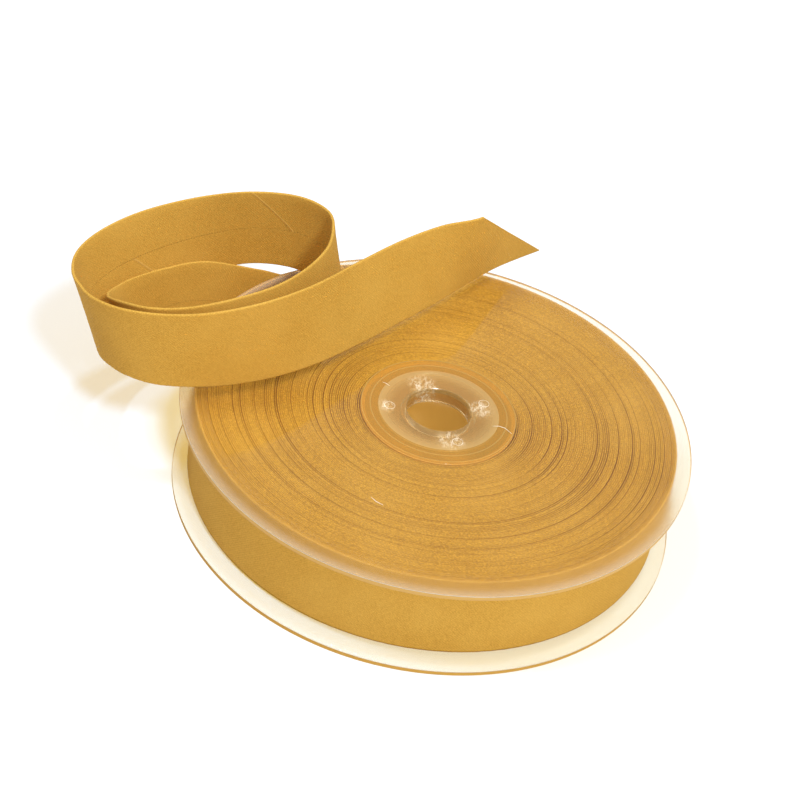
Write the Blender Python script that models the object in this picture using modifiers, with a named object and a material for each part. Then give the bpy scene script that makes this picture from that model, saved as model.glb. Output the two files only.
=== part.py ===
"""A roll of bias binding: golden cotton tape wound on a clear plastic spool, with its loose end looped above.

Run with blender --background --python part.py, or from Blender's text editor. Lengths are in metres, +Z is up,
and the spool stands on z = 0. The origin is the middle of the underside of the whole object's box.
"""

import math

import bpy
from mathutils import Vector

MM = 0.001
GAP = 0.3 * MM

# Spool: two like flanges and the barrel between them
FLANGE_RADIUS = 56.0 * MM
FLANGE_THICKNESS = 1.1 * MM
FLANGE_SPACE = 20.6 * MM
SPOOL_HEIGHT = 2 * FLANGE_THICKNESS + FLANGE_SPACE
HOLE_RADIUS = 7.1 * MM
COLLAR_WALL = 1.2 * MM
COLLAR_HEIGHT = 3.9 * MM
BOSS_RADIUS = 13.3 * MM
BOSS_HEIGHT = 1.8 * MM
BARREL_RADIUS = 17.1 * MM
BARREL_WALL = 1.0 * MM
TURN_STEPS = 80

# Where the spool's axis stands, so that the whole object's box is centred on the origin
AXIS_X = 13.52 * MM
AXIS_Y = -7.1 * MM

# Binding: a strip with both raw edges folded in to the middle
TAPE_WIDTH = 20.0 * MM
CLOTH = 0.4 * MM
LAYER_PITCH = 0.75 * MM
TAPE_THICKNESS = LAYER_PITCH + CLOTH
RAW_EDGE_FROM_MIDDLE = 0.9 * MM
FOLD_STEPS = 3
STATION_PITCH = 2.8 * MM
ROUTE_STEPS = 12

# Wound turns: their outline is a circle pushed towards the back, with a seat where the last turn lifts off
ROLL_RADIUS = 53.4 * MM
ROLL_CENTRE = Vector((-0.3 * MM, 2.0 * MM))
ROLL_BOTTOM = FLANGE_THICKNESS + GAP
ROLL_HEIGHT = TAPE_WIDTH
ROLL_STEPS = 96
SEAT_DEPTH = TAPE_THICKNESS + GAP
SEAT_START = 106.0
LIFT_OFF = 122.0
SEAT_END = 185.0

# The slanted cut: how much further the lower edge runs than the upper one, and where the slant begins
CUT_SLANT = 28.0 * MM
CUT_BLEND = 70.0 * MM

# Route of the loose end from the spool's axis, in mm: x, y and z of the tape's middle, and the outward lean
# of its upper edge in degrees. It rises round a small loop, then round a larger one, and crosses the flange.
LOOSE_ROUTE = (
    (-34.6, 44.6, 11.4, 0),
    (-40.2, 40.9, 11.4, 0),
    (-45.0, 36.4, 11.8, 0),
    (-50.6, 31.4, 15.4, 1),
    (-60.0, 24.4, 19.4, 4),
    (-66.3, 18.0, 20.0, 6),
    (-70.2, 9.4, 21.6, 11),
    (-70.6, 1.4, 24.2, 16),
    (-69.0, -5.2, 27.8, 17),
    (-65.4, -9.9, 31.4, 12),
    (-60.0, -11.8, 33.2, 6),
    (-52.7, -9.5, 33.4, -1),
    (-45.0, -4.0, 33.4, -5),
    (-37.6, 3.5, 33.4, -8),
    (-32.3, 12.8, 33.4, -10),
    (-29.4, 22.0, 33.6, -12),
    (-29.5, 29.5, 34.0, -14),
    (-33.8, 35.2, 34.0, -2),
    (-41.5, 38.8, 33.6, -1),
    (-52.0, 37.4, 32.9, 0),
    (-62.0, 31.6, 31.8, 8),
    (-71.3, 22.2, 31.2, 16),
    (-77.0, 12.7, 31.2, 18),
    (-79.4, 4.4, 31.2, 19),
    (-78.6, -2.4, 31.4, 18),
    (-76.2, -6.9, 31.6, 15),
    (-72.6, -10.6, 32.1, 14),
    (-67.3, -13.3, 32.8, 10),
    (-60.0, -13.8, 33.2, 5),
    (-52.0, -11.6, 33.4, 2),
    (-44.5, -7.4, 33.4, -2),
    (-36.9, -1.3, 33.4, -6),
    (-29.3, 7.3, 33.3, -10),
    (-21.9, 18.2, 33.2, -14),
    (-14.4, 29.5, 33.2, -14),
    (-7.2, 39.0, 33.3, -9),
    (-0.8, 46.5, 33.2, 2),
    (7.0, 57.8, 32.9, 6),
    (16.7, 69.8, 32.6, 6),
)


def clear_scene():
    for obj in list(bpy.data.objects):
        bpy.data.objects.remove(obj, do_unlink=True)


def make_collection(name):
    collection = bpy.data.collections.new(name)
    bpy.context.scene.collection.children.link(collection)
    return collection


def make_material(name, colour, roughness, transmission=0.0):
    """A Principled material of one linear colour."""
    material = bpy.data.materials.new(name)
    material.use_nodes = True
    shader = material.node_tree.nodes["Principled BSDF"]
    shader.inputs["Base Color"].default_value = (*colour, 1.0)
    shader.inputs["Roughness"].default_value = roughness
    shader.inputs["Metallic"].default_value = 0.0
    shader.inputs["Transmission Weight"].default_value = transmission
    return material


def add_part(name, data, material, collection, axis, location=(0, 0, 0), turn=(0, 0, 0)):
    """Places one named piece on the spool's axis and gives it its material."""
    obj = bpy.data.objects.new(name, data)
    collection.objects.link(obj)
    data.materials.append(material)
    obj.parent = axis
    obj.location = location
    obj.rotation_euler = turn
    return obj


def smooth_steps(t):
    """Eases from 0 to 1 as t goes from 0 to 1."""
    t = min(max(t, 0.0), 1.0)
    return t * t * (3.0 - 2.0 * t)


def turned_mesh(name, profile):
    """The closed outline (radius, z) of a turned piece, for a Screw modifier about Z."""
    mesh = bpy.data.meshes.new(name)
    points = [(radius, 0.0, z) for radius, z in profile]
    edges = [(i, (i + 1) % len(points)) for i in range(len(points))]
    mesh.from_pydata(points, edges, [])
    return mesh


def add_screw(obj):
    """Turns the outline right round and shades it smooth between sharp corners."""
    screw = obj.modifiers.new("Turn", "SCREW")
    screw.axis = "Z"
    screw.angle = math.tau
    screw.steps = TURN_STEPS
    screw.render_steps = TURN_STEPS
    screw.use_merge_vertices = True
    screw.merge_threshold = 0.00001
    screw.use_smooth_shade = True


def flange_profile():
    """Lower flange: outer face at z = 0, rounded rim, then the boss and the collar round the hole."""
    half = FLANGE_THICKNESS / 2
    rim_centre = FLANGE_RADIUS - half
    rim = []
    for step in range(5):
        angle = math.radians(90 - 45 * step)
        rim.append((rim_centre + half * math.cos(angle), half + half * math.sin(angle)))
    collar_radius = HOLE_RADIUS + COLLAR_WALL
    return [
        *rim,
        (HOLE_RADIUS, 0.0),
        (HOLE_RADIUS, COLLAR_HEIGHT),
        (collar_radius, COLLAR_HEIGHT),
        (collar_radius, BOSS_HEIGHT),
        (BOSS_RADIUS, BOSS_HEIGHT),
        (BOSS_RADIUS, FLANGE_THICKNESS),
    ]


def build_spool(collection, axis):
    """Two flanges of one moulding, face to face, and the barrel that the tape is wound on."""
    plastic = make_material("clear_plastic", (0.86, 0.84, 0.78), 0.12, transmission=0.9)
    mesh = turned_mesh("spool_flange", flange_profile())
    lower = add_part("spool_flange_lower", mesh, plastic, collection, axis)
    upper = bpy.data.objects.new("spool_flange_upper", mesh)
    collection.objects.link(upper)
    upper.parent = axis
    upper.location = (0, 0, SPOOL_HEIGHT)
    upper.rotation_euler = (math.pi, 0, 0)
    inner = BARREL_RADIUS - BARREL_WALL
    bottom = FLANGE_THICKNESS + GAP
    top = SPOOL_HEIGHT - FLANGE_THICKNESS - GAP
    profile = [(BARREL_RADIUS, top), (BARREL_RADIUS, bottom), (inner, bottom), (inner, top)]
    barrel_plastic = make_material("clear_plastic_barrel", (0.80, 0.74, 0.62), 0.2, transmission=0.9)
    barrel = add_part("spool_barrel", turned_mesh("spool_barrel", profile), barrel_plastic, collection, axis)
    for obj in (lower, upper, barrel):
        add_screw(obj)


def roll_point(degrees, inset=0.0):
    """A point of the wound outline, or of a line inside it by inset."""
    angle = math.radians(degrees)
    reach = ROLL_RADIUS - inset
    return ROLL_CENTRE + Vector((reach * math.cos(angle), reach * math.sin(angle)))


def seat_depth(degrees):
    """How far the turns lie below the full outline, where the last turn has lifted off."""
    if degrees < SEAT_START or degrees > SEAT_END:
        return 0.0
    return SEAT_DEPTH * (1.0 - smooth_steps((degrees - LIFT_OFF) / (SEAT_END - LIFT_OFF)))


def add_outline(curve, points):
    """Adds one closed run of points to a flat curve."""
    spline = curve.splines.new("POLY")
    spline.points.add(len(points) - 1)
    for target, point in zip(spline.points, points):
        target.co = (point[0], point[1], 0.0, 1.0)
    spline.use_cyclic_u = True


def build_roll(collection, axis):
    """The wound turns as one ring, its outline as uneven as the winding."""
    pitch = 360.0 / ROLL_STEPS
    angles = [pitch * step for step in range(ROLL_STEPS)]
    angles.append(SEAT_START - 0.2)
    angles.append(SEAT_START)
    angles.sort()
    outer = [roll_point(angle, seat_depth(angle)) for angle in angles]
    core = BARREL_RADIUS + GAP
    inner = []
    for step in range(ROLL_STEPS // 2):
        angle = math.tau * step / (ROLL_STEPS // 2)
        inner.append((core * math.cos(angle), core * math.sin(angle)))
    curve = bpy.data.curves.new("wound_binding", "CURVE")
    curve.dimensions = "2D"
    curve.fill_mode = "BOTH"
    curve.extrude = ROLL_HEIGHT / 2
    add_outline(curve, outer)
    add_outline(curve, inner)
    cotton = make_material("golden_cotton", (0.60, 0.32, 0.045), 0.85)
    add_part("wound_binding", curve, cotton, collection, axis, location=(0, 0, ROLL_BOTTOM + ROLL_HEIGHT / 2))


def route_rows():
    """The route's rows as vectors with their lean: first along the seat on the roll, then the loose end."""
    middle = ROLL_BOTTOM + ROLL_HEIGHT / 2
    rows = []
    for degrees in (SEAT_START + 1.0, (SEAT_START + LIFT_OFF) / 2, LIFT_OFF):
        spot = roll_point(degrees, TAPE_THICKNESS / 2)
        rows.append((Vector((spot.x, spot.y, middle)), 0.0))
    for x, y, z, lean in LOOSE_ROUTE:
        rows.append((Vector((x, y, z)) * MM, float(lean)))
    return rows


def blend_rows(before, start, end, after, t):
    """One point of the Catmull-Rom curve between start and end."""
    return 0.5 * (
        2.0 * start
        + (end - before) * t
        + (2.0 * before - 5.0 * start + 4.0 * end - after) * t * t
        + (3.0 * start - before - 3.0 * end + after) * t * t * t
    )


class Route:
    """The smooth line along the tape's middle, read by the distance from its start."""

    def __init__(self, rows):
        self.points = []
        self.leans = []
        last = len(rows) - 1
        for i in range(last):
            near = [rows[min(max(i + k, 0), last)] for k in (-1, 0, 1, 2)]
            for step in range(ROUTE_STEPS):
                t = step / ROUTE_STEPS
                self.points.append(blend_rows(*[row[0] for row in near], t))
                self.leans.append(blend_rows(*[row[1] for row in near], t))
        self.points.append(rows[-1][0])
        self.leans.append(rows[-1][1])
        self.reach = [0.0]
        for a, b in zip(self.points, self.points[1:]):
            self.reach.append(self.reach[-1] + (b - a).length)
        self.length = self.reach[-1]

    def span(self, distance):
        """The pair of points that this distance falls between, and the share of the way along it."""
        i = 0
        while i < len(self.reach) - 2 and self.reach[i + 1] < distance:
            i += 1
        return i, (distance - self.reach[i]) / (self.reach[i + 1] - self.reach[i])

    def place(self, distance):
        """Middle point, direction across the width and outward direction at this distance."""
        i, t = self.span(distance)
        before, after = max(i - 1, 0), min(i + 2, len(self.points) - 1)
        middle = self.points[i].lerp(self.points[i + 1], t)
        along_start = (self.points[i + 1] - self.points[before]).normalized()
        along_end = (self.points[after] - self.points[i]).normalized()
        along = along_start.lerp(along_end, t).normalized()
        lean = math.radians(self.leans[i] * (1 - t) + self.leans[i + 1] * t)
        sideways = Vector((along.y, -along.x, 0.0)).normalized()
        across = math.sin(lean) * sideways + Vector((0.0, 0.0, math.cos(lean)))
        across = (across - across.dot(along) * along).normalized()
        return middle, across, along.cross(across)


def folded_section():
    """The folded tape's cross line as (across, outward), from one raw edge round both folds to the other."""
    turn_radius = LAYER_PITCH / 2
    fold_middle = TAPE_WIDTH / 2 - CLOTH / 2 - turn_radius
    upper = [(RAW_EDGE_FROM_MIDDLE, -turn_radius)]
    for step in range(FOLD_STEPS + 1):
        angle = math.pi * step / FOLD_STEPS - math.pi / 2
        upper.append((fold_middle + turn_radius * math.cos(angle), turn_radius * math.sin(angle)))
    lower = [(-across, outward) for across, outward in reversed(upper)]
    return upper + lower


def build_loose_end(collection, axis):
    """The folded tape swept along its route as an open surface, thickened to the cloth's own thickness."""
    route = Route(route_rows())
    section = folded_section()
    middle_length = route.length - CUT_SLANT / 2
    count = round(middle_length / STATION_PITCH)
    points = []
    for station in range(count + 1):
        distance = middle_length * station / count
        slant = smooth_steps((distance - middle_length + CUT_BLEND) / CUT_BLEND) * CUT_SLANT
        for across, outward in section:
            share = across / TAPE_WIDTH
            middle, width_way, out_way = route.place(distance - share * slant)
            points.append(middle + across * width_way + outward * out_way)
    faces = []
    row = len(section)
    for station in range(count):
        for k in range(row - 1):
            corner = station * row + k
            faces.append((corner, corner + row, corner + row + 1, corner + 1))
    mesh = bpy.data.meshes.new("loose_end")
    mesh.from_pydata(points, [], faces)
    mesh.shade_smooth()
    cotton = make_material("golden_cotton_loose", (0.64, 0.36, 0.06), 0.85)
    tape = add_part("loose_end", mesh, cotton, collection, axis)
    cloth = tape.modifiers.new("Cloth", "SOLIDIFY")
    cloth.thickness = CLOTH
    cloth.offset = 0.0
    cloth.use_even_offset = True


def main():
    clear_scene()
    parts = make_collection("bias_binding_roll")
    axis = bpy.data.objects.new("spool_axis", None)
    axis.location = (AXIS_X, AXIS_Y, 0.0)
    parts.objects.link(axis)
    build_spool(parts, axis)
    build_roll(parts, axis)
    build_loose_end(parts, axis)


main()
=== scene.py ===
"""Looks of a roll of golden bias binding on its clear plastic spool.

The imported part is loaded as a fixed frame, in metres, and each class below builds one sub-assembly in that
frame: the clear spool, the wound turns, and the strip that runs off the roll into two loops.
"""

from __future__ import annotations

import logging
import math
from dataclasses import dataclass, field
from enum import Enum
from typing import Any, NamedTuple, Sequence

import bpy
import numpy as np
from mathutils import Matrix, Vector

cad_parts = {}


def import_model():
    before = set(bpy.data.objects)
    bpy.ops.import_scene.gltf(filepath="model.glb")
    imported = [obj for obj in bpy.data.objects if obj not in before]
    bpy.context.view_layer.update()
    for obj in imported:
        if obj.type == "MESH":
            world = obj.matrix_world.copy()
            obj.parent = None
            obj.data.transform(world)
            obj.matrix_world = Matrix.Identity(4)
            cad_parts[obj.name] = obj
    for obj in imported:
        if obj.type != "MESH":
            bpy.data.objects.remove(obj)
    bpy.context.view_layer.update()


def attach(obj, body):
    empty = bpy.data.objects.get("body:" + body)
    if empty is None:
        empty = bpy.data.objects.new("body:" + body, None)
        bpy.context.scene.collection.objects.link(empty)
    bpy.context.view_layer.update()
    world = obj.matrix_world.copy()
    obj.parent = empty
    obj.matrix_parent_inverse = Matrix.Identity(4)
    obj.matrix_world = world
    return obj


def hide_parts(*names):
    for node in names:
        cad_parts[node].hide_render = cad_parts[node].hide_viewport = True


MM = 0.001
AXIS_X_MM = 13.52
AXIS_Y_MM = -7.10
LOG = logging.getLogger("bias_binding_roll")

Colour = tuple[float, float, float, float]


def linear(hex_code: str) -> Colour:
    """Turns an sRGB hex colour into linear values.

    Args:
        hex_code: Six hex digits, red first.

    Returns:
        Red, green, blue and an alpha of one.
    """
    channels = [int(hex_code[i : i + 2], 16) / 255 for i in (0, 2, 4)]
    return (*[c / 12.92 if c <= 0.04045 else ((c + 0.055) / 1.055) ** 2.4 for c in channels], 1.0)


def ease(t: float) -> float:
    """Eases from 0 to 1 as t goes from 0 to 1."""
    t = min(max(t, 0.0), 1.0)
    return t * t * (3.0 - 2.0 * t)


def on_axis(x: float, y: float, z: float) -> Vector:
    """Turns millimetres from the foot of the spool's axis into the part's frame."""
    return Vector(((x + AXIS_X_MM) * MM, (y + AXIS_Y_MM) * MM, z * MM))


def add_node(
    tree: bpy.types.NodeTree, kind: str, inputs: dict | None = None, **settings: Any
) -> bpy.types.Node:
    """Adds one node to a material.

    Args:
        tree: The material's nodes.
        kind: Blender's name for the node.
        inputs: Value or linked socket for each input, by its name or number.
        **settings: The node's own properties.

    Returns:
        The new node.
    """
    node = tree.nodes.new(kind)
    for name, value in settings.items():
        setattr(node, name, value)
    for name, value in (inputs or {}).items():
        if isinstance(value, bpy.types.NodeSocket):
            tree.links.new(value, node.inputs[name])
        else:
            node.inputs[name].default_value = value
    return node


def new_material(name: str) -> tuple[bpy.types.Material, bpy.types.NodeTree]:
    """Makes a material with no nodes.

    Args:
        name: What the real material is.

    Returns:
        The material and its node tree.
    """
    material = bpy.data.materials.new(name)
    material.use_nodes = True
    material.node_tree.nodes.clear()
    return material, material.node_tree


def set_output(tree: bpy.types.NodeTree, shader: bpy.types.NodeSocket) -> None:
    """Shows a shader on the material's surface.

    Args:
        tree: The material's nodes.
        shader: The shader's output.
    """
    add_node(tree, "ShaderNodeOutputMaterial", {"Surface": shader})


class Grain(Enum):
    """Which side of the cloth a finish is for."""

    FACE = "strip"
    EDGES = "turns"


@dataclass(frozen=True)
class WovenCotton:
    """Plain-woven cotton, dyed golden tan, cut on the bias and pressed.

    It is matt and slightly furry, so it keeps its colour at every angle, and its threads cross the strip at
    45 degrees. Real threads lie 0.3 mm apart. They are drawn 0.46 mm apart so that they show from here.
    """

    name: str = "golden_cotton"
    grain: Grain = Grain.FACE
    crown: str = "DDB04E"
    hollow: str = "BC8E36"
    slub: str = "DFB456"
    # Painted shade: the dark colour laid into the gaps between wound turns and into the crease at the roll's
    # foot.
    painted_crevice_shade: str = "85560F"
    sheen: str = "F0C873"
    thread_mm: float = 0.46
    mottle_mm: float = 0.3
    patch_mm: float = 16.0
    roughness: float = 0.9
    seam_shift_mm: float = 0.0
    seam_half_mm: float = 0.45
    seam_core_mm: float = 0.12
    # The seam's lighter colour is a painted highlight on the ridge of its pressed allowances.
    seam_highlight_share: float = 0.22
    seam_highlight_colour: str = "EBC678"

    def threads(self, tree: bpy.types.NodeTree) -> bpy.types.NodeSocket:
        """Draws the crossing threads.

        Args:
            tree: The material's nodes.

        Returns:
            The height of the weave, from 0 to 1.
        """
        if self.grain is Grain.FACE:
            place = add_node(tree, "ShaderNodeUVMap", uv_map="strip").outputs["UV"]
        else:
            place = add_node(tree, "ShaderNodeTexCoord").outputs["Object"]
        scale = math.tau / 20.0 / (self.thread_mm * MM)
        bands = []
        for turn in (45.0, -45.0):
            inputs = {"Vector": place, "Rotation": (0.0, 0.0, math.radians(turn))}
            along = add_node(tree, "ShaderNodeMapping", inputs).outputs[0]
            inputs = {"Vector": along, "Scale": scale, "Distortion": 1.4, "Detail": 1.0, "Detail Scale": 0.35}
            wave = add_node(tree, "ShaderNodeTexWave", inputs, wave_type="BANDS", bands_direction="X")
            bands.append(wave.outputs["Fac"])
        return add_node(tree, "ShaderNodeMath", {0: bands[0], 1: bands[1]}, operation="MULTIPLY").outputs[0]

    def noise(self, tree: bpy.types.NodeTree, size_mm: float, detail: float) -> bpy.types.NodeSocket:
        """Draws an even unevenness.

        Args:
            tree: The material's nodes.
            size_mm: Size of one blot.
            detail: How many finer layers it has.

        Returns:
            Its strength, from 0 to 1.
        """
        place = add_node(tree, "ShaderNodeTexCoord").outputs["Object"]
        inputs = {"Vector": place, "Scale": 1.0 / (size_mm * MM), "Detail": detail, "Roughness": 0.6}
        return add_node(tree, "ShaderNodeTexNoise", inputs).outputs["Fac"]

    def seam(self, tree: bpy.types.NodeTree) -> bpy.types.NodeSocket:
        """Draws the slanted seam that joins two lengths of cloth.

        Args:
            tree: The material's nodes.

        Returns:
            1 on the stitched line, falling to 0 beside it.
        """
        place = add_node(tree, "ShaderNodeUVMap", uv_map="strip").outputs["UV"]
        axes = add_node(tree, "ShaderNodeSeparateXYZ", {"Vector": place}).outputs
        off = axes["Y"]
        for less in (axes["X"], self.seam_shift_mm * MM):
            off = add_node(tree, "ShaderNodeMath", {0: off, 1: less}, operation="SUBTRACT").outputs[0]
        distance = add_node(tree, "ShaderNodeMath", {0: off}, operation="ABSOLUTE").outputs[0]
        inputs = {"Value": distance, "From Min": self.seam_half_mm * MM, "From Max": self.seam_core_mm * MM}
        return add_node(tree, "ShaderNodeMapRange", inputs, clamp=True).outputs["Result"]

    def material(self) -> bpy.types.Material:
        """Makes the cotton's material."""
        material, tree = new_material(self.name)
        weave = self.threads(tree)
        mottle = self.noise(tree, self.mottle_mm, 3.0)
        patch = self.noise(tree, self.patch_mm, 2.0)
        inputs = {0: weave, 1: 0.45, 2: 0.3}
        spread = add_node(tree, "ShaderNodeMath", inputs, operation="MULTIPLY_ADD").outputs[0]
        inputs = {"Value": mottle, "From Min": 0.3, "From Max": 0.7, "To Min": -0.5, "To Max": 0.5}
        blot = add_node(tree, "ShaderNodeMapRange", inputs).outputs[0]
        inputs = {0: spread, 1: blot}
        share = add_node(tree, "ShaderNodeMath", inputs, operation="ADD", use_clamp=True).outputs[0]
        inputs = {"Value": patch, "From Min": 0.35, "From Max": 0.75, "To Max": 0.35}
        light = add_node(tree, "ShaderNodeMapRange", inputs).outputs[0]
        # The gap attribute carries painted shade in the gaps between turns and at the roll's foot, plus each
        # turn's own random tone.
        gap = add_node(tree, "ShaderNodeAttribute", attribute_name="gap").outputs["Fac"]
        height = weave
        layers = [(share, self.crown), (light, self.slub), (gap, self.painted_crevice_shade)]
        if self.seam_shift_mm:
            line = self.seam(tree)
            # Painted highlight along the seam's ridge; the ridge's bump below is real.
            faint = add_node(tree, "ShaderNodeMath", {0: line, 1: self.seam_highlight_share}, operation="MULTIPLY")
            layers.append((faint.outputs[0], self.seam_highlight_colour))
            inputs = {0: line, 1: 2.5, 2: weave}
            height = add_node(tree, "ShaderNodeMath", inputs, operation="MULTIPLY_ADD").outputs[0]
        colour: Any = linear(self.hollow)
        for factor, over in layers:
            inputs = {"Factor": factor, 6: colour, 7: linear(over)}
            colour = add_node(tree, "ShaderNodeMix", inputs, data_type="RGBA").outputs[2]
        bump = add_node(tree, "ShaderNodeBump", {"Height": height, "Strength": 0.5, "Distance": 0.08 * MM})
        inputs = {
            "Base Color": colour,
            "Roughness": self.roughness,
            "Specular IOR Level": 0.25,
            "Sheen Weight": 0.15,
            "Sheen Roughness": 0.5,
            "Sheen Tint": linear(self.sheen),
            "Normal": bump.outputs[0],
        }
        set_output(tree, add_node(tree, "ShaderNodeBsdfPrincipled", inputs).outputs[0])
        return material


@dataclass(frozen=True)
class Haze:
    """Where clear plastic turns milky, from one radius about the spool's axis to another. Sizes in mm."""

    start: float
    full: float
    clearness: float


class Scuff(NamedTuple):
    """A whitened patch of plastic: its middle in mm from the spool's axis, and how far it reaches."""

    x: float
    y: float
    reach: float


@dataclass(frozen=True)
class ClearPolystyrene:
    """Injection-moulded clear polystyrene: glossy, faintly yellow, slightly hazy, with handling marks."""

    name: str = "clear_polystyrene"
    tint: str = "FFFAF0"
    shade: str = "FBF9F5"
    clearness: float = 0.995
    wave_mm: float = 9.0
    roughness: float = 0.02
    ior: float = 1.5
    shine: float = 0.5
    relief: float = 0.05
    haze: Haze | None = None
    scuffs: tuple[Scuff, ...] = ()
    scuff_colour: str = "FFF6E4"

    def clear_share(self, tree: bpy.types.NodeTree, place: bpy.types.NodeSocket) -> Any:
        """Works out how much of the light passes.

        Args:
            tree: The material's nodes.
            place: The point in the part's frame.

        Returns:
            One share for all of the plastic, or a socket with the share at each point.
        """
        if self.haze is None:
            return self.clearness
        foot = (AXIS_X_MM * MM, AXIS_Y_MM * MM, 0.0)
        out = add_node(tree, "ShaderNodeVectorMath", {0: place, 1: foot}, operation="SUBTRACT").outputs[0]
        inputs = {0: out, 1: (1.0, 1.0, 0.0)}
        flat = add_node(tree, "ShaderNodeVectorMath", inputs, operation="MULTIPLY").outputs[0]
        radius = add_node(tree, "ShaderNodeVectorMath", {0: flat}, operation="LENGTH").outputs["Value"]
        inputs = {"Value": radius, "From Min": self.haze.start * MM, "From Max": self.haze.full * MM}
        milk = add_node(tree, "ShaderNodeMapRange", inputs, interpolation_type="SMOOTHSTEP").outputs[0]
        inputs = {"Value": milk, "To Min": self.clearness, "To Max": self.haze.clearness}
        return add_node(tree, "ShaderNodeMapRange", inputs).outputs[0]

    def scuffed(self, tree: bpy.types.NodeTree, place: bpy.types.NodeSocket) -> bpy.types.NodeSocket:
        """Draws the whitened patches.

        Args:
            tree: The material's nodes.
            place: The point in the part's frame.

        Returns:
            1 where the plastic is white, falling to 0 beside it.
        """
        inputs = {0: place, 1: (1.0, 1.0, 0.0)}
        flat = add_node(tree, "ShaderNodeVectorMath", inputs, operation="MULTIPLY").outputs[0]
        patch: Any = 0.0
        for scuff in self.scuffs:
            middle = ((AXIS_X_MM + scuff.x) * MM, (AXIS_Y_MM + scuff.y) * MM, 0.0)
            away = add_node(tree, "ShaderNodeVectorMath", {0: flat, 1: middle}, operation="DISTANCE")
            away, reach = away.outputs["Value"], scuff.reach * MM
            inputs = {"Value": away, "From Min": reach, "From Max": 0.3 * scuff.reach * MM}
            near = add_node(tree, "ShaderNodeMapRange", inputs, interpolation_type="SMOOTHSTEP").outputs[0]
            patch = add_node(tree, "ShaderNodeMath", {0: patch, 1: near}, operation="MAXIMUM").outputs[0]
        stretched = {"Vector": place, "Scale": (1.0, 0.45, 1.0)}
        strokes = add_node(tree, "ShaderNodeMapping", stretched).outputs[0]
        inputs = {"Vector": strokes, "Scale": 1.0 / (0.7 * MM), "Detail": 4.0, "Roughness": 0.75}
        blot = add_node(tree, "ShaderNodeTexNoise", inputs).outputs["Fac"]
        inputs = {"Value": blot, "From Min": 0.44, "From Max": 0.72}
        broken = add_node(tree, "ShaderNodeMapRange", inputs).outputs[0]
        return add_node(tree, "ShaderNodeMath", {0: patch, 1: broken}, operation="MULTIPLY").outputs[0]

    def material(self) -> bpy.types.Material:
        """Makes the plastic's material. Lamps shine through it, as they do through a thin clear wall."""
        material, tree = new_material(self.name)
        place = add_node(tree, "ShaderNodeTexCoord").outputs["Object"]
        inputs = {"Vector": place, "Scale": 1.0 / (self.wave_mm * MM), "Detail": 4.0}
        cloud = add_node(tree, "ShaderNodeTexNoise", inputs).outputs["Fac"]
        inputs = {"Height": cloud, "Strength": self.relief, "Distance": 0.1 * MM}
        wave = add_node(tree, "ShaderNodeBump", inputs).outputs[0]
        colour: Any = linear(self.tint)
        passing = self.clear_share(tree, place)
        if self.scuffs:
            white = self.scuffed(tree, place)
            inputs = {"Factor": white, 6: colour, 7: linear(self.scuff_colour)}
            colour = add_node(tree, "ShaderNodeMix", inputs, data_type="RGBA").outputs[2]
            inputs = {"Value": white, "To Min": passing, "To Max": 0.1}
            passing = add_node(tree, "ShaderNodeMapRange", inputs).outputs[0]
        inputs = {
            "Base Color": colour,
            "Roughness": self.roughness,
            "IOR": self.ior,
            "Specular IOR Level": self.shine,
            "Transmission Weight": passing,
            "Normal": wave,
        }
        body = add_node(tree, "ShaderNodeBsdfPrincipled", inputs).outputs[0]
        path = add_node(tree, "ShaderNodeLightPath")
        shade = add_node(tree, "ShaderNodeBsdfTransparent", {"Color": linear(self.shade)}).outputs[0]
        bounce = path.outputs["Is Diffuse Ray"]
        soft = add_node(tree, "ShaderNodeMixShader", {0: bounce, 1: body, 2: shade}).outputs[0]
        lamp = path.outputs["Is Shadow Ray"]
        set_output(tree, add_node(tree, "ShaderNodeMixShader", {0: lamp, 1: soft, 2: shade}).outputs[0])
        return material


@dataclass(frozen=True)
class PaleBoard:
    """Smooth card on a light table, under a warm glow.

    Its cool skin and the glow add up to white in full light, so that only shadows show, and those are warm.
    The light that it throws back on the roll is that of plain white card.
    """

    name: str = "white_card"
    colour: str = "9EC8F7"
    thrown: str = "CFC8BE"
    roughness: float = 0.6
    glow: str = "D2A800"

    def material(self) -> bpy.types.Material:
        """Makes the card's material."""
        material, tree = new_material(self.name)
        inputs = {
            "Base Color": linear(self.colour),
            "Roughness": self.roughness,
            "Specular IOR Level": 0.2,
            "Emission Color": linear(self.glow),
            "Emission Strength": 1.0,
        }
        seen = add_node(tree, "ShaderNodeBsdfPrincipled", inputs).outputs[0]
        thrown = add_node(tree, "ShaderNodeBsdfDiffuse", {"Color": linear(self.thrown)}).outputs[0]
        bounce = add_node(tree, "ShaderNodeLightPath").outputs["Is Diffuse Ray"]
        set_output(tree, add_node(tree, "ShaderNodeMixShader", {0: bounce, 1: seen, 2: thrown}).outputs[0])
        return material


class ProfilePoint(NamedTuple):
    """One corner of a turned outline, and the finish of the face that follows it."""

    radius: float
    height: float
    zone: int = 0


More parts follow.
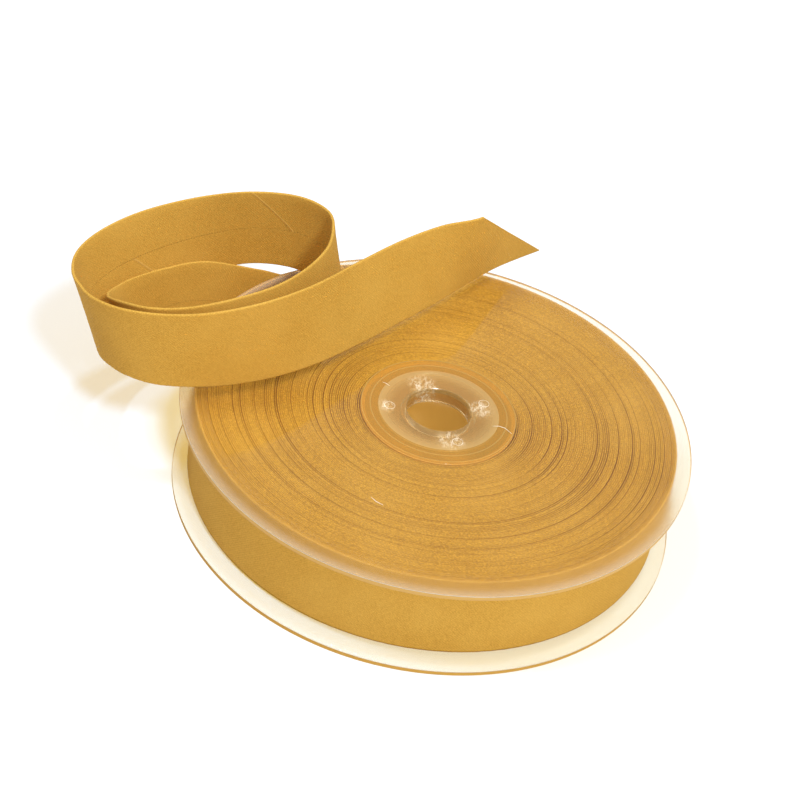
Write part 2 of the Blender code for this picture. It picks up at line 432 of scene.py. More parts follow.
@dataclass
class MeshParts:
    """Points, faces, face finishes and named numbers of a mesh in the making."""

    points: list[tuple[float, float, float]] = field(default_factory=list)
    faces: list[tuple[int, ...]] = field(default_factory=list)
    zones: list[int] = field(default_factory=list)
    values: dict[str, list[float]] = field(default_factory=dict)
    strip_map: list[tuple[float, float]] = field(default_factory=list)

    def build(
        self, name: str, materials: Sequence[bpy.types.Material], sharp_deg: float = 40.0
    ) -> bpy.types.Object:
        """Makes the object.

        Args:
            name: The piece's name.
            materials: One for each zone.
            sharp_deg: Corners sharper than this stay sharp.

        Returns:
            The object, linked into the scene.
        """
        mesh = bpy.data.meshes.new(name)
        mesh.from_pydata(self.points, [], self.faces)
        for material in materials:
            mesh.materials.append(material)
        if self.zones:
            mesh.polygons.foreach_set("material_index", self.zones)
        for key, numbers in self.values.items():
            mesh.attributes.new(key, "FLOAT", "POINT").data.foreach_set("value", numbers)
        if self.strip_map:
            layer = mesh.uv_layers.new(name="strip")
            corners = np.zeros(len(mesh.loops), np.int32)
            mesh.loops.foreach_get("vertex_index", corners)
            layer.data.foreach_set("uv", np.array(self.strip_map, np.float32)[corners].ravel())
        mesh.shade_smooth()
        mesh.set_sharp_from_angle(angle=math.radians(sharp_deg))
        made = bpy.data.objects.new(name, mesh)
        bpy.context.scene.collection.objects.link(made)
        return made


def turned(profile: Sequence[ProfilePoint], steps: int) -> MeshParts:
    """Turns a closed outline round the spool's axis.

    Args:
        profile: Corners in millimetres, running down the outer side first.
        steps: Number of faces round the axis.

    Returns:
        The turned mesh.
    """
    made = MeshParts()
    count = len(profile)
    for step in range(steps):
        angle = math.tau * step / steps
        for corner in profile:
            spot = on_axis(corner.radius * math.cos(angle), corner.radius * math.sin(angle), corner.height)
            made.points.append(tuple(spot))
    for step in range(steps):
        here, there = step * count, (step + 1) % steps * count
        for k, corner in enumerate(profile):
            after = (k + 1) % count
            made.faces.append((here + k, here + after, there + after, there + k))
            made.zones.append(corner.zone)
    return made


class Zone(Enum):
    """Finishes of the spool's moulding, in the order of its material slots."""

    DISC = 0
    BOSS = 1
    MARGIN = 2
    RIM_TOP = 3
    RIM_FOOT = 4
    HUB = 5
    # Pale rings painted as highlights at the barrel's top edge and just outside the boss.
    HIGHLIGHT_RING = 6


@dataclass
class Spool:
    """Two like clear flanges and the clear barrel between them. Sizes in mm."""

    radius: float = 56.0
    thickness: float = 1.1
    height: float = 22.8
    hole: float = 7.1
    collar_wall: float = 1.2
    collar_height: float = 3.9
    boss_radius: float = 13.3
    boss_height: float = 1.8
    highlight_ring_radius: float = 14.9
    barrel_radius: float = 17.1
    barrel_wall: float = 1.0
    gap: float = 0.08
    steps: int = 192
    top_bevel: float = 0.1
    foot_bevel: float = 0.2
    rim_steps: int = 4
    margin_from: float = 50.0
    pin_radius: float = 1.15
    pin_wire: float = 0.05
    pin_ring: float = 10.8
    pin_turns: tuple[float, ...] = (30.0, 192.0, 300.0)
    # Painted highlights: short whitish raised streaks on the plastic, points in mm from the spool's axis.
    streak_wire: float = 0.08
    highlight_streaks: tuple[tuple[tuple[float, float], ...], ...] = (
        ((12.2, -1.6), (13.4, -1.2), (14.8, -1.4), (16.5, -2.8)),
        ((-13.3, 5.1), (-12.4, 4.8), (-11.6, 4.3)),
        ((-9.6, -32.4), (-8.4, -33.4), (-6.8, -34.0)),
    )

    def flange_profile(self, upper: bool) -> list[ProfilePoint]:
        """Outline of a flange on its outer face: bevelled rim, flat face, hole, collar, boss and inner face.

        Args:
            upper: True for the flange that is turned over, whose lower edge is this outline's upper one.

        Returns:
            Its corners, each with the finish of the face that follows it.
        """
        thick = self.thickness
        above, below = (self.foot_bevel, self.top_bevel) if upper else (self.top_bevel, self.foot_bevel)
        edges = (Zone.RIM_FOOT, Zone.RIM_TOP) if upper else (Zone.RIM_TOP, Zone.RIM_FOOT)
        corners = ((edges[0], 90.0, above, thick - above), (edges[1], 0.0, below, below))
        points = []
        for zone, start, bevel, height in corners:
            for step in range(self.rim_steps + 1):
                angle = math.radians(start - 90.0 * step / self.rim_steps)
                last = zone if step < self.rim_steps else Zone.RIM_FOOT if start else Zone.MARGIN
                spot = (self.radius - bevel + bevel * math.cos(angle), height + bevel * math.sin(angle))
                points.append(ProfilePoint(*spot, last.value))
        disc, boss, hub, line = Zone.DISC.value, Zone.BOSS.value, Zone.HUB.value, Zone.HIGHLIGHT_RING.value
        wall = self.hole + self.collar_wall
        soft = 0.15
        return points + [
            ProfilePoint(self.margin_from, 0.0, disc),
            # Two narrow bands take the painted highlight rings: one at the barrel's edge, one just outside
            # the boss.
            ProfilePoint(self.barrel_radius, 0.0, line),
            ProfilePoint(self.barrel_radius - 0.25, 0.0, hub),
            ProfilePoint(self.highlight_ring_radius + 0.3, 0.0, line),
            ProfilePoint(self.highlight_ring_radius, 0.0, hub),
            ProfilePoint(self.boss_radius, 0.0, boss),
            ProfilePoint(self.hole + soft, 0.0, boss),
            ProfilePoint(self.hole, soft, boss),
            # The collar's edge takes the painted highlight of the rims' top edges.
            ProfilePoint(self.hole, self.collar_height - soft, Zone.RIM_TOP.value),
            ProfilePoint(self.hole + soft, self.collar_height, boss),
            ProfilePoint(wall - soft, self.collar_height, boss),
            ProfilePoint(wall, self.collar_height - soft, boss),
            ProfilePoint(wall, self.boss_height, boss),
            ProfilePoint(self.boss_radius - soft, self.boss_height, boss),
            ProfilePoint(self.boss_radius, self.boss_height - soft, boss),
            ProfilePoint(self.boss_radius, thick, hub),
            ProfilePoint(self.barrel_radius, thick, disc),
            ProfilePoint(self.margin_from, thick, Zone.MARGIN.value),
        ]

    def flange(self, name: str, upper: bool, finishes: Sequence[bpy.types.Material]) -> bpy.types.Object:
        """Builds one flange.

        Args:
            name: The piece's name.
            upper: True for the one that is turned over on top.
            finishes: Materials in the order of Zone.

        Returns:
            The flange.
        """
        profile = self.flange_profile(upper)
        if upper:
            edges = [corner.zone for corner in profile[-2::-1] + profile[-1:]]
            profile = [
                ProfilePoint(corner.radius, self.height - corner.height, zone)
                for corner, zone in zip(profile[::-1], edges)
            ]
        return turned(profile, self.steps).build(name, finishes)

    def barrel(self, name: str, finish: bpy.types.Material) -> bpy.types.Object:
        """Builds the tube between the flanges."""
        inner = self.barrel_radius - self.barrel_wall
        low, high = self.thickness + self.gap, self.height - self.thickness - self.gap
        profile = [
            ProfilePoint(self.barrel_radius, high - 0.1),
            ProfilePoint(self.barrel_radius, low + 0.1),
            ProfilePoint(self.barrel_radius - 0.1, low),
            ProfilePoint(inner + 0.1, low),
            ProfilePoint(inner, low + 0.1),
            ProfilePoint(inner, high - 0.1),
            ProfilePoint(inner + 0.1, high),
            ProfilePoint(self.barrel_radius - 0.1, high),
        ]
        return turned(profile, self.steps).build(name, [finish])

    def pin_rings_and_highlight_streaks(self, name: str, finish: bpy.types.Material) -> bpy.types.Object:
        """Builds the fine raised lines on the plastic: rings of the mould's ejector pins, and short whitish
        streaks that are painted highlights.

        Args:
            name: The piece's name.
            finish: Its material.

        Returns:
            The marks, as one piece.
        """
        made = MeshParts()
        for height, side in ((self.height, -1.0), (0.0, 1.0)):
            for turn in self.pin_turns:
                angle = math.radians(turn)
                middle = Vector((self.pin_ring * math.cos(angle), self.pin_ring * math.sin(angle)))
                line = []
                for i in range(20):
                    way = math.tau * i / 20
                    line.append(middle + self.pin_radius * Vector((math.cos(way), math.sin(way))))
                self.wire(made, line, height + side * 0.5 * self.pin_wire, self.pin_wire, True)
        for streak in self.highlight_streaks:
            line = [Vector(spot) for spot in streak]
            self.wire(made, line, self.height, self.streak_wire, False)
        return made.build(name, [finish])

    @staticmethod
    def wire(made: MeshParts, line: Sequence[Vector], height: float, reach: float, closed: bool) -> None:
        """Adds one fine round line that lies level.

        Args:
            made: The mesh that it goes into.
            line: Its points from the spool's axis.
            height: Level of its middle.
            reach: Its radius.
            closed: True for a ring.
        """
        ring, count, first = 6, len(line), len(made.points)
        for i, spot in enumerate(line):
            before = line[i - 1] if closed or i else spot
            after = line[(i + 1) % count] if closed or i < count - 1 else spot
            along = (after - before).normalized()
            taper = 1.0 if closed or 0 < i < count - 1 else 0.4
            for k in range(ring):
                angle = math.tau * k / ring
                out, up = reach * taper * math.cos(angle), reach * taper * math.sin(angle)
                x, y = spot.x + out * along.y, spot.y - out * along.x
                made.points.append(tuple(on_axis(x, y, height + up)))
        for i in range(count if closed else count - 1):
            here, there = first + i * ring, first + (i + 1) % count * ring
            for k in range(ring):
                after_k = (k + 1) % ring
                made.faces.append((here + k, there + k, there + after_k, here + after_k))
        if not closed:
            made.faces.append(tuple(first + k for k in range(ring)))
            made.faces.append(tuple(first + (count - 1) * ring + ring - 1 - k for k in range(ring)))

    def dress(self) -> list[bpy.types.Object]:
        """Builds the whole spool in place of its plain solids, and returns its pieces."""
        disc = ClearPolystyrene()
        # The boss's milky haze and white patches are the plastic's own; its golden tint is painted light, the
        # cotton's glow scattered in it.
        boss = ClearPolystyrene(
            name="frosted_polystyrene",
            tint="D8B87A",
            clearness=0.8,
            wave_mm=1.6,
            roughness=0.25,
            relief=0.2,
            haze=Haze(9.0, 14.5, 0.5),
            scuffs=(
                Scuff(-4.7, 7.4, 4.2),
                Scuff(8.9, 3.4, 3.6),
                Scuff(4.0, -9.4, 4.0),
                Scuff(-11.2, -2.4, 2.4),
            ),
        )
        margin = ClearPolystyrene(
            "scuffed_polystyrene", "FFF8E8", roughness=0.2, haze=Haze(53.0, self.radius, 0.88)
        )
        ledge = ClearPolystyrene(
            "polystyrene_ledge", "FFFCF6", roughness=0.1, haze=Haze(52.0, self.radius, 0.95)
        )
        # Painted highlight: a pale, half-opaque band along the top edge of each rim and the collar's edge.
        rim_top = ClearPolystyrene(
            "polystyrene_edge_painted_highlight", "FFF2D8", clearness=0.65, roughness=0.3, shine=0.25
        )
        rim_foot = ClearPolystyrene(
            "polystyrene_edge_lit_by_cotton", "CFA24E", clearness=0.05, roughness=0.5, shine=0.05
        )
        # Painted reflection: the upper flange's lower edge is tinted golden for the cotton seen in it.
        rim_band = ClearPolystyrene(
            "polystyrene_edge_painted_cotton_reflection", "DDB46A", clearness=0.12, roughness=0.5, shine=0.05
        )
        # Painted light: the hub ring between boss and barrel is tinted golden and half opaque for the
        # cotton's light scattered in the plastic.
        hub = ClearPolystyrene("polystyrene_hub", "D2A652", clearness=0.66, roughness=0.1)
        # Painted highlight: a paler, less clear plastic for the two thin rings on the flanges' faces.
        line = ClearPolystyrene("polystyrene_painted_highlight_ring", "D2AE64", clearness=0.55, roughness=0.2)
        # Painted light: the lower flange's hub and boss are tinted golden for the cotton's light inside the
        # hollow.
        foot = ClearPolystyrene("polystyrene_hub_foot", "E3B868", clearness=0.6, roughness=0.2)
        # Painted light: the barrel is tinted golden and mostly opaque for the cotton's light shining through
        # it.
        tube = ClearPolystyrene("polystyrene_barrel", "F2C062", clearness=0.35, shine=0.3).material()
        # Half-opaque white plastic for the real ejector pin rings and the painted highlight streaks.
        marks = ClearPolystyrene("white_marks_in_polystyrene", clearness=0.45, roughness=0.3).material()
        skins = {}
        for finish in (disc, boss, margin, ledge, rim_top, rim_foot, rim_band, hub, line, foot):
            skins[finish.name] = finish.material()
        below = [skins[finish.name] for finish in (disc, foot, ledge, rim_top, rim_foot, foot, line)]
        above = [skins[finish.name] for finish in (disc, boss, margin, rim_top, rim_band, hub, line)]
        lower = self.flange("clear_flange_lower", False, below)
        upper = self.flange("clear_flange_upper", True, above)
        barrel = self.barrel("clear_barrel", tube)
        pins_and_streaks = self.pin_rings_and_highlight_streaks("pin_rings_and_highlight_streaks", marks)
        nodes = ("spool_flange_lower", "spool_flange_upper", "spool_barrel")
        for piece, node in zip((lower, upper, barrel), nodes):
            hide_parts(node)
        return [lower, upper, barrel, pins_and_streaks]


@dataclass
class Winding:
    """The turns wound on the barrel, less the last one, which is part of the strip. Sizes in mm."""

    core: float = 17.15
    outer: float = 53.4
    centre: tuple[float, float] = (-0.3, 2.0)
    bottom: float = 1.4
    top: float = 21.4
    turns: int = 82
    steps: int = 192
    strip_thickness: float = 0.56
    last_turn_rise: float = 0.62
    lift_off: float = 122.0
    groove: float = 0.16
    seed: int = 7

    def shrink(self, degrees: float) -> float:
        """How far the turns lie below the full outline at this angle, under the last turn.

        Args:
            degrees: Angle round the roll, from 0 to 360.

        Returns:
            Depth in mm: least just before the strip lifts off, and a full turn's rise more just after it.
        """
        share = ((degrees - self.lift_off - 1.0) % 360.0) / 360.0
        return self.strip_thickness + self.last_turn_rise * (1.0 - share)

    def unevenness(self) -> tuple[np.ndarray, np.ndarray]:
        """How far each turn's edge lies below the roll's face, and how open the gap beside it is.

        Returns:
            Two tables, a row for each turn and a column for each step round the roll.
        """
        rng = np.random.default_rng(self.seed)
        angle = np.linspace(0.0, math.tau, self.steps, endpoint=False)
        sink = np.zeros((self.turns, self.steps))
        fade = np.zeros((self.turns, self.steps))
        for wave in range(1, 6):
            drift = np.cumsum(rng.normal(0.0, 0.35, self.turns)) + rng.uniform(0, math.tau)
            size = 0.05 / wave * (0.6 + 0.8 * rng.random(self.turns))
            sink += size[:, None] * np.sin(wave * angle[None, :] + drift[:, None])
            own = rng.uniform(0, math.tau, self.turns)
            fade += 0.5 / wave**0.5 * np.sin(wave * angle[None, :] + own[:, None])
        sink += rng.random(self.turns)[:, None] * 0.09
        strength = rng.exponential(0.3, self.turns) * np.linspace(1.5, 0.9, self.turns)
        strength[[2, 5, 9, 15, 23, 34, 41, 52, 60, 71]] += 0.45
        gap = 0.08 + strength[:, None] * np.clip(0.8 + 0.5 * fade, 0.0, 1.6)
        return np.clip(sink, 0.0, 0.3), np.clip(gap, 0.05, 0.95)

    def face(self, height: float, down: float, fine: bool) -> tuple[list, list[float]]:
        """Points of one flat side, from the core out.

        Args:
            height: Level of the side.
            down: -1 where turns sink down from it, 1 where they sink up.
            fine: True for the side that shows, whose grooves have flat bottoms of their own width.

        Returns:
            A row of points for each edge of each turn, and each point's share of shade.
        """
        sink, gap = self.unevenness()
        tone = 0.05 + 0.05 * np.sin(np.arange(self.turns) * 0.9) * np.cos(np.arange(self.turns) * 0.23)
        wide = np.clip(0.12 + 0.4 * gap.mean(axis=1), 0.15, 0.5)
        rows, shades = [], []
        for turn in range(self.turns):
            floor = float(wide[turn])
            parts = [(0.0, 1.0), (0.4, 0.0)]
            if fine:
                parts = [(0.0, 1.0), (floor, 0.95), (floor + 0.15, 0.0), (0.95, 0.0)]
            for part, deep in parts:
                share = (turn + part) / self.turns
                row = []
                for step in range(self.steps):
                    degrees = 360.0 * step / self.steps
                    reach = self.core + share * (self.outer - self.core - self.shrink(degrees) * share**6)
                    low = sink[turn, step] + deep * (self.groove + 0.2 * gap[turn, step])
                    angle = math.radians(degrees)
                    x = self.centre[0] * share + reach * math.cos(angle)
                    y = self.centre[1] * share + reach * math.sin(angle)
                    row.append(tuple(on_axis(x, y, height + down * low)))
                    # Painted shade: each groove is darkened by how open its gap is, on top of the real groove
                    # in the geometry; the turn's random tone is added.
                    shades.append(float(min(deep * gap[turn, step], 1.0) + tone[turn]))
                rows.append(row)
        return rows, shades

    def rim(self, height: float) -> list:
        """Points of the roll's outermost edge at one level."""
        row = []
        for step in range(self.steps):
            degrees = 360.0 * step / self.steps
            reach, angle = self.outer - self.shrink(degrees), math.radians(degrees)
            x, y = self.centre[0] + reach * math.cos(angle), self.centre[1] + reach * math.sin(angle)
            row.append(tuple(on_axis(x, y, height)))
        return row

    def dress(self) -> list[bpy.types.Object]:
        """Builds the wound turns in place of their plain ring, and returns them."""
        upper, upper_shade = self.face(self.top, -1.0, True)
        lower, lower_shade = self.face(self.bottom, 1.0, False)
        levels = (self.top - 0.15, self.top - 0.4, self.bottom + 0.4, self.bottom + 0.15)
        rings = upper + [self.rim(level) for level in levels] + lower[::-1]
        made = MeshParts()
        for ring in rings:
            made.points += ring
        backwards = np.array(lower_shade).reshape(-1, self.steps)[::-1].ravel().tolist()
        # The gap attribute holds the painted shade between turns; the roll's outer edge gets none.
        made.values["gap"] = upper_shade + [0.0] * (4 * self.steps) + backwards
        count = len(rings)
        for k in range(count):
            here, there = k * self.steps, (k + 1) % count * self.steps
            for step in range(self.steps):
                after = (step + 1) % self.steps
                made.faces.append((here + step, there + step, there + after, here + after))
        finish = WovenCotton("golden_cotton_turns", Grain.EDGES, "E2B23A", "A87A1E", mottle_mm=0.4)
        roll = made.build("turns_of_binding", [finish.material()], sharp_deg=180.0)
        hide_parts("wound_binding")
        return [roll]


class RouteRow(NamedTuple):
    """The strip's middle in mm from the spool's axis, and the outward lean of its upper edge in degrees."""

    x: float
    y: float
    z: float
    lean: float


class Place(NamedTuple):
    """The strip's middle, and the directions across its width and out of its outer side."""

    middle: Vector
    across: Vector
    outward: Vector


@dataclass
class Strip:
    """The last turn and the loose end: cotton folded in from both sides, run round two loops. Sizes in mm."""

    width: float = 20.0
    cloth: float = 0.24
    tight: float = 0.28
    open_fold: float = 0.42
    open_raw: float = 0.4
    raw_edge: float = 0.05
    roll_middle: float = 11.4
    roll_outer: float = 53.4
    roll_centre: tuple[float, float] = (-0.3, 2.0)
    rise: float = 0.62
    lift_off: float = 122.0
    station: float = 1.4
    roll_station: float = 3.0
    slant: float = 28.0
    slant_blend: float = 70.0
    seam_at: float = 491.0
    loose: tuple[RouteRow, ...] = (
        RouteRow(-34.6, 44.6, 11.4, 0),
        RouteRow(-40.2, 40.9, 11.4, 0),
        RouteRow(-45.0, 36.4, 11.8, 0),
        RouteRow(-50.6, 31.4, 15.4, 1),
        RouteRow(-60.0, 24.4, 19.4, 4),
        RouteRow(-66.3, 18.0, 20.0, 6),
        RouteRow(-70.2, 9.4, 21.6, 11),
        RouteRow(-70.6, 1.4, 24.2, 16),
        RouteRow(-69.0, -5.2, 27.8, 17),
        RouteRow(-65.4, -9.9, 31.4, 12),
        RouteRow(-60.0, -11.8, 33.2, 6),
        RouteRow(-52.7, -9.5, 33.4, -1),
        RouteRow(-45.0, -4.0, 33.4, -5),
        RouteRow(-37.6, 3.5, 33.4, -8),
        RouteRow(-32.3, 12.8, 33.4, -10),
        RouteRow(-29.4, 22.0, 33.6, -12),
        RouteRow(-29.5, 29.5, 34.0, -14),
        RouteRow(-33.8, 35.2, 34.0, -2),
        RouteRow(-41.5, 38.8, 33.6, -1),
        RouteRow(-52.0, 37.4, 32.9, 0),
        RouteRow(-62.0, 31.6, 31.8, 8),
        RouteRow(-71.3, 22.2, 31.2, 16),
        RouteRow(-77.0, 12.7, 31.2, 18),
        RouteRow(-79.4, 4.4, 31.2, 19),
        RouteRow(-78.6, -2.4, 31.4, 18),
        RouteRow(-76.2, -6.9, 31.6, 15),
        RouteRow(-72.6, -10.6, 32.1, 14),
        RouteRow(-67.3, -13.3, 32.8, 10),
        RouteRow(-60.0, -13.8, 33.2, 5),
        RouteRow(-52.0, -11.6, 33.4, 2),
        RouteRow(-44.5, -7.4, 33.4, -2),
        RouteRow(-36.9, -1.3, 33.4, -6),
        RouteRow(-29.3, 7.3, 33.3, -10),
        RouteRow(-21.9, 18.2, 33.2, -14),
        RouteRow(-14.4, 29.5, 33.2, -14),
        RouteRow(-7.2, 39.0, 33.3, -9),
        RouteRow(-0.8, 46.5, 33.2, 2),
        RouteRow(7.0, 57.8, 32.9, 6),
        RouteRow(16.7, 69.8, 32.6, 6),
    )

    def __post_init__(self) -> None:
        """Works out the smooth route once, with the distance of each of its points."""
        rows = self.roll_rows()
        self.turn_rows = len(rows)
        rows += list(self.loose)
        spots, leans = [], []
        last = len(rows) - 1
        for i in range(last):
            near = [rows[min(max(i + k, 0), last)] for k in (-1, 0, 1, 2)]
            for step in range(10):
                t = step / 10
                spots.append(self.blend([Vector(row[:3]) for row in near], t))
                leans.append(self.blend([row.lean for row in near], t))
        spots.append(Vector(rows[-1][:3]))
        leans.append(rows[-1].lean)
        self.spots, self.leans = spots, leans
        reach = [0.0]
        for a, b in zip(spots, spots[1:]):
            reach.append(reach[-1] + (b - a).length)
        self.reach = np.array(reach)
        self.length = reach[-1]
        self.loose_from = float(self.reach[10 * (self.turn_rows - 1)])

    def roll_rows(self) -> list[RouteRow]:
        """Rows of the last turn round the roll, up to where the strip lifts off."""
        rows = []
        count = 45
        half = self.cloth / 2 + self.tight / 2
        for step in range(count + 1):
            share = step / count
            degrees = self.lift_off + 1.5 - 360.0 + share * 358.5
            reach = self.roll_outer - half - self.rise * (1.0 - share)
            angle = math.radians(degrees)
            x = self.roll_centre[0] + reach * math.cos(angle)
            y = self.roll_centre[1] + reach * math.sin(angle)
            rows.append(RouteRow(x, y, self.roll_middle, 0.0))
        return rows

    @staticmethod
    def blend(near: Sequence[Any], t: float) -> Any:
        """One value of the Catmull-Rom curve through four rows."""
        a, b, c, d = near
        square, cube = (2 * a - 5 * b + 4 * c - d) * t * t, (3 * b - a - 3 * c + d) * t**3
        return 0.5 * (2 * b + (c - a) * t + square + cube)

    def place(self, distance: float) -> Place:
        """Where the strip is at a distance along it.

        Args:
            distance: In mm from the start of the last turn.

        Returns:
            The middle in mm and two unit directions.
        """
        i = int(np.clip(np.searchsorted(self.reach, distance) - 1, 0, len(self.reach) - 2))
        t = (distance - self.reach[i]) / (self.reach[i + 1] - self.reach[i])
        middle = self.spots[i].lerp(self.spots[i + 1], t)
        before, after = max(i - 1, 0), min(i + 2, len(self.spots) - 1)
        start = (self.spots[i + 1] - self.spots[before]).normalized()
        end = (self.spots[after] - self.spots[i]).normalized()
        along = start.lerp(end, t).normalized()
        lean = math.radians(self.leans[i] * (1 - t) + self.leans[i + 1] * t)
        sideways = Vector((along.y, -along.x, 0.0)).normalized()
        across = math.sin(lean) * sideways + Vector((0.0, 0.0, math.cos(lean)))
        across = (across - across.dot(along) * along).normalized()
        return Place(middle, across, along.cross(across))

    def looseness(self, distance: float) -> float:
        """How far the folds have sprung open: 0 on the roll, 1 in the loops."""
        return ease((distance - self.loose_from) / 60.0)

    def section(self, distance: float) -> list[tuple[float, float, float]]:
        """The folded strip's line across its width at one distance.

        Args:
            distance: In mm along the strip.

        Returns:
            Rows of (across, outward, unfolded width so far) in mm, from one raw edge to the other.
        """
        free = self.looseness(distance)
        flutter = 0.5 + 0.5 * math.sin(distance / 13.0) * math.cos(distance / 31.0)
        fold = self.tight + free * (self.open_fold - self.tight) * (0.7 + 0.6 * flutter)
        raw = self.tight + free * (self.open_raw - self.tight) * (0.6 + 0.7 * flutter)
        bow = free * 0.22 * math.sin(distance / 37.0 + 1.0)
        turn = fold / 2
        edge = self.width / 2 - self.cloth / 2 - turn
        upper = []
        for step in range(6):
            t = step / 6
            lift = raw + (fold - raw) * ease(t)
            upper.append((self.raw_edge + (edge - self.raw_edge) * t, turn - lift))
        for step in range(7):
            angle = math.pi * step / 6 - math.pi / 2
            upper.append((edge + turn * math.cos(angle), turn * math.sin(angle)))
        half = [(edge * share, turn) for share in (0.97, 0.8, 0.6, 0.4, 0.2)]
        line = upper + half + [(0.0, turn)] + [(-a, o) for a, o in reversed(upper + half)]
        rows, unfolded = [], 0.0
        for k, (across, outward) in enumerate(line):
            if k:
                unfolded += math.dist((across, outward), line[k - 1])
            rows.append((across, outward + bow * (1.0 - (across / 10.0) ** 2), unfolded))
        return rows

    def stations(self) -> list[float]:
        """Distances of the strip's cross lines: wide apart on the roll and close in the loops."""
        on_roll = max(2, round(self.loose_from / self.roll_station))
        end = self.length - self.slant / 2
        free = max(2, round((end - self.loose_from) / self.station))
        return [self.loose_from * i / on_roll for i in range(on_roll)] + [
            self.loose_from + (end - self.loose_from) * i / free for i in range(free + 1)
        ]

    def surface(self) -> MeshParts:
        """The folded strip as one open surface down the middle of the cloth."""
        made = MeshParts()
        marks = self.stations()
        shade = made.values["gap"] = []
        end = marks[-1]
        count = 0
        for distance in marks:
            slant = ease((distance - end + self.slant_blend) / self.slant_blend) * self.slant
            rows = self.section(distance)
            count = len(rows)
            for across, outward, unfolded in rows:
                own = distance - across / self.width * slant
                spot = self.place(own)
                point = spot.middle + across * spot.across + outward * spot.outward
                made.points.append(tuple(on_axis(*point)))
                made.strip_map.append((unfolded * MM, own * MM))
                # Painted shade: the lower fold on the roll is darkened where it meets the lower flange,
                # fading as the strip comes loose.
                shade.append(0.8 * (1.0 - self.looseness(distance)) if across < 0.5 - self.width / 2 else 0.0)
        for station in range(len(marks) - 1):
            for k in range(count - 1):
                corner = station * count + k
                made.faces.append((corner, corner + count, corner + count + 1, corner + 1))
        return made

    def thicken(self, piece: bpy.types.Object) -> None:
        """Gives the surface the cloth's thickness and keeps its cut edges crisp."""
        solid = piece.modifiers.new("cloth", "SOLIDIFY")
        solid.thickness = self.cloth * MM
        solid.offset = 0.0
        solid.use_even_offset = True
        graph = bpy.context.evaluated_depsgraph_get()
        thick = bpy.data.meshes.new_from_object(piece.evaluated_get(graph))
        piece.modifiers.clear()
        piece.data = thick
        thick.shade_smooth()
        thick.set_sharp_from_angle(angle=math.radians(50.0))

    def dress(self) -> list[bpy.types.Object]:
        """Builds the strip in place of its plain solid, and returns it."""
        finish = WovenCotton(seam_shift_mm=self.seam_at)
        piece = self.surface().build("binding_strip", [finish.material()], sharp_deg=180.0)
        self.thicken(piece)
        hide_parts("loose_end")
        flat = (self.section(self.length)[-1][2] * MM, (self.length - self.slant / 2) * MM)
        return [piece]


@dataclass(frozen=True)
class SoftBox:
    """One square studio lamp that looks at the roll."""

    name: str
    toward: tuple[float, float, float]
    distance: float
    side: float
    watts: float
    colour: str = "FFFFFF"

    def place(self, target: Vector) -> bpy.types.Object:
        """Adds the lamp.

        Args:
            target: The point that it looks at.

        Returns:
            The lamp's object.
        """
        data = bpy.data.lights.new(self.name, "AREA")
        data.shape = "SQUARE"
        data.size = self.side
        data.energy = self.watts
        data.color = linear(self.colour)[:3]
        lamp = bpy.data.objects.new(self.name, data)
        way = Vector(self.toward).normalized()
        lamp.location = target + way * self.distance
        lamp.rotation_mode = "QUATERNION"
        lamp.rotation_quaternion = way.to_track_quat("Z", "Y")
        bpy.context.scene.collection.objects.link(lamp)
        return lamp


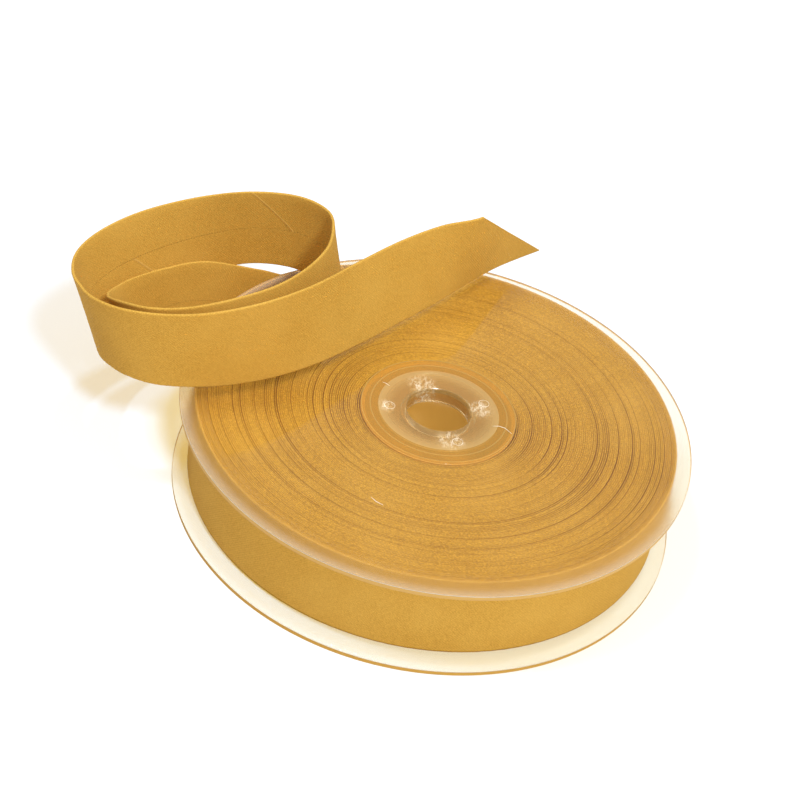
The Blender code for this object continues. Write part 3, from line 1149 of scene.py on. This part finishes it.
@dataclass
class Studio:
    """Pale card, soft lamps and the camera at the photograph's angle."""

    focal_px: float = 1763.2
    image_px: float = 800.0
    sensor_mm: float = 36.0
    camera_distance: float = 396.95
    camera_target_height: float = 0.55
    elevation: float = 0.7209
    roll: float = -0.2190
    pan: float = -0.0227
    tilt: float = -0.0441
    air: float = 0.56
    back_air: str = "BCA589"
    front_air: str = "FFF7EC"
    front_way: tuple[float, float, float] = (0.9, -0.35, 0.25)
    floor_half: float = 1.6
    floor_cells: int = 8
    floor_level: float = -0.00002
    wall: float = 1.05
    lamps: tuple[SoftBox, ...] = (
        SoftBox("softbox_left", (-0.6, 0.05, 1.0), 3.0, 0.6, 36.0, "DCEBFF"),
        SoftBox("softbox_right_front", (0.43, -0.72, 1.0), 3.0, 0.4, 60.0, "FFFFFF"),
        SoftBox("softbox_above", (0.05, 0.12, 1.0), 3.0, 0.22, 20.0, "FFFFFF"),
    )

    def camera(self) -> bpy.types.Object:
        """Adds the camera where the photograph was taken from."""
        data = bpy.data.cameras.new("photo_camera")
        data.sensor_width = self.sensor_mm
        data.lens = self.sensor_mm * self.focal_px / self.image_px
        data.clip_start = 0.01
        data.clip_end = 20.0
        camera = bpy.data.objects.new("photo_camera", data)
        back = self.camera_distance * math.cos(self.elevation)
        up = self.camera_distance * math.sin(self.elevation)
        camera.location = on_axis(0.0, -back, self.camera_target_height + up)
        turns = (math.pi / 2 - self.elevation, "X"), (-self.pan, "Y"), (-self.tilt, "X"), (-self.roll, "Z")
        rotation = Matrix.Identity(3)
        for angle, axis in turns:
            rotation = rotation @ Matrix.Rotation(angle, 3, axis)
        camera.rotation_mode = "QUATERNION"
        camera.rotation_quaternion = rotation.to_quaternion()
        bpy.context.scene.collection.objects.link(camera)
        bpy.context.scene.camera = camera
        return camera

    def floor(self) -> bpy.types.Object:
        """Adds the card that the roll lies on."""
        made = MeshParts()
        cells = self.floor_cells
        for row in range(cells + 1):
            for column in range(cells + 1):
                x = self.floor_half * (2 * column / cells - 1)
                y = self.floor_half * (2 * row / cells - 1)
                made.points.append((x, y, self.floor_level))
        for row in range(cells):
            for column in range(cells):
                k = row * (cells + 1) + column
                made.faces.append((k, k + 1, k + cells + 2, k + cells + 1))
        card = made.build("white_card", [PaleBoard().material()])
        return card

    def light(self) -> None:
        """Adds the lamps and the even light of a white room."""
        for lamp in self.lamps:
            lamp.place(on_axis(0.0, 0.0, 10.0))
        world = bpy.data.worlds.new("white_room")
        world.use_nodes = True
        tree = world.node_tree
        way = add_node(tree, "ShaderNodeTexCoord").outputs["Generated"]
        turn = add_node(tree, "ShaderNodeVectorMath", {0: way, 1: self.front_way}, operation="DOT_PRODUCT")
        inputs = {"Value": turn.outputs["Value"], "From Min": -0.7, "From Max": 0.8}
        front = add_node(tree, "ShaderNodeMapRange", inputs).outputs[0]
        inputs = {"Factor": front, 6: linear(self.back_air), 7: linear(self.front_air)}
        colour = add_node(tree, "ShaderNodeMix", inputs, data_type="RGBA").outputs[2]
        air = tree.nodes["Background"]
        tree.links.new(colour, air.inputs["Color"])
        air.inputs["Strength"].default_value = self.air
        wall = add_node(tree, "ShaderNodeBackground", {"Color": linear("FFFFFF"), "Strength": self.wall})
        seen = add_node(tree, "ShaderNodeLightPath").outputs["Is Camera Ray"]
        mixed = add_node(tree, "ShaderNodeMixShader", {0: seen, 1: air.outputs[0], 2: wall.outputs[0]})
        tree.links.new(mixed.outputs[0], tree.nodes["World Output"].inputs["Surface"])
        bpy.context.scene.world = world
        bpy.context.scene.view_settings.view_transform = "Standard"

    def set_up(self) -> None:
        """Builds the studio."""
        self.camera()
        self.floor()
        self.light()


def main() -> None:
    """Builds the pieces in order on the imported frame."""
    logging.basicConfig(level=logging.INFO, format="%(name)s: %(message)s")
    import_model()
    for assembly in (Spool(), Winding(), Strip()):
        for piece in assembly.dress():
            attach(piece, "root")
            LOG.info("%s: %d faces", piece.name, len(piece.data.polygons))
    Studio().set_up()


if __name__ == "__main__":
    main()
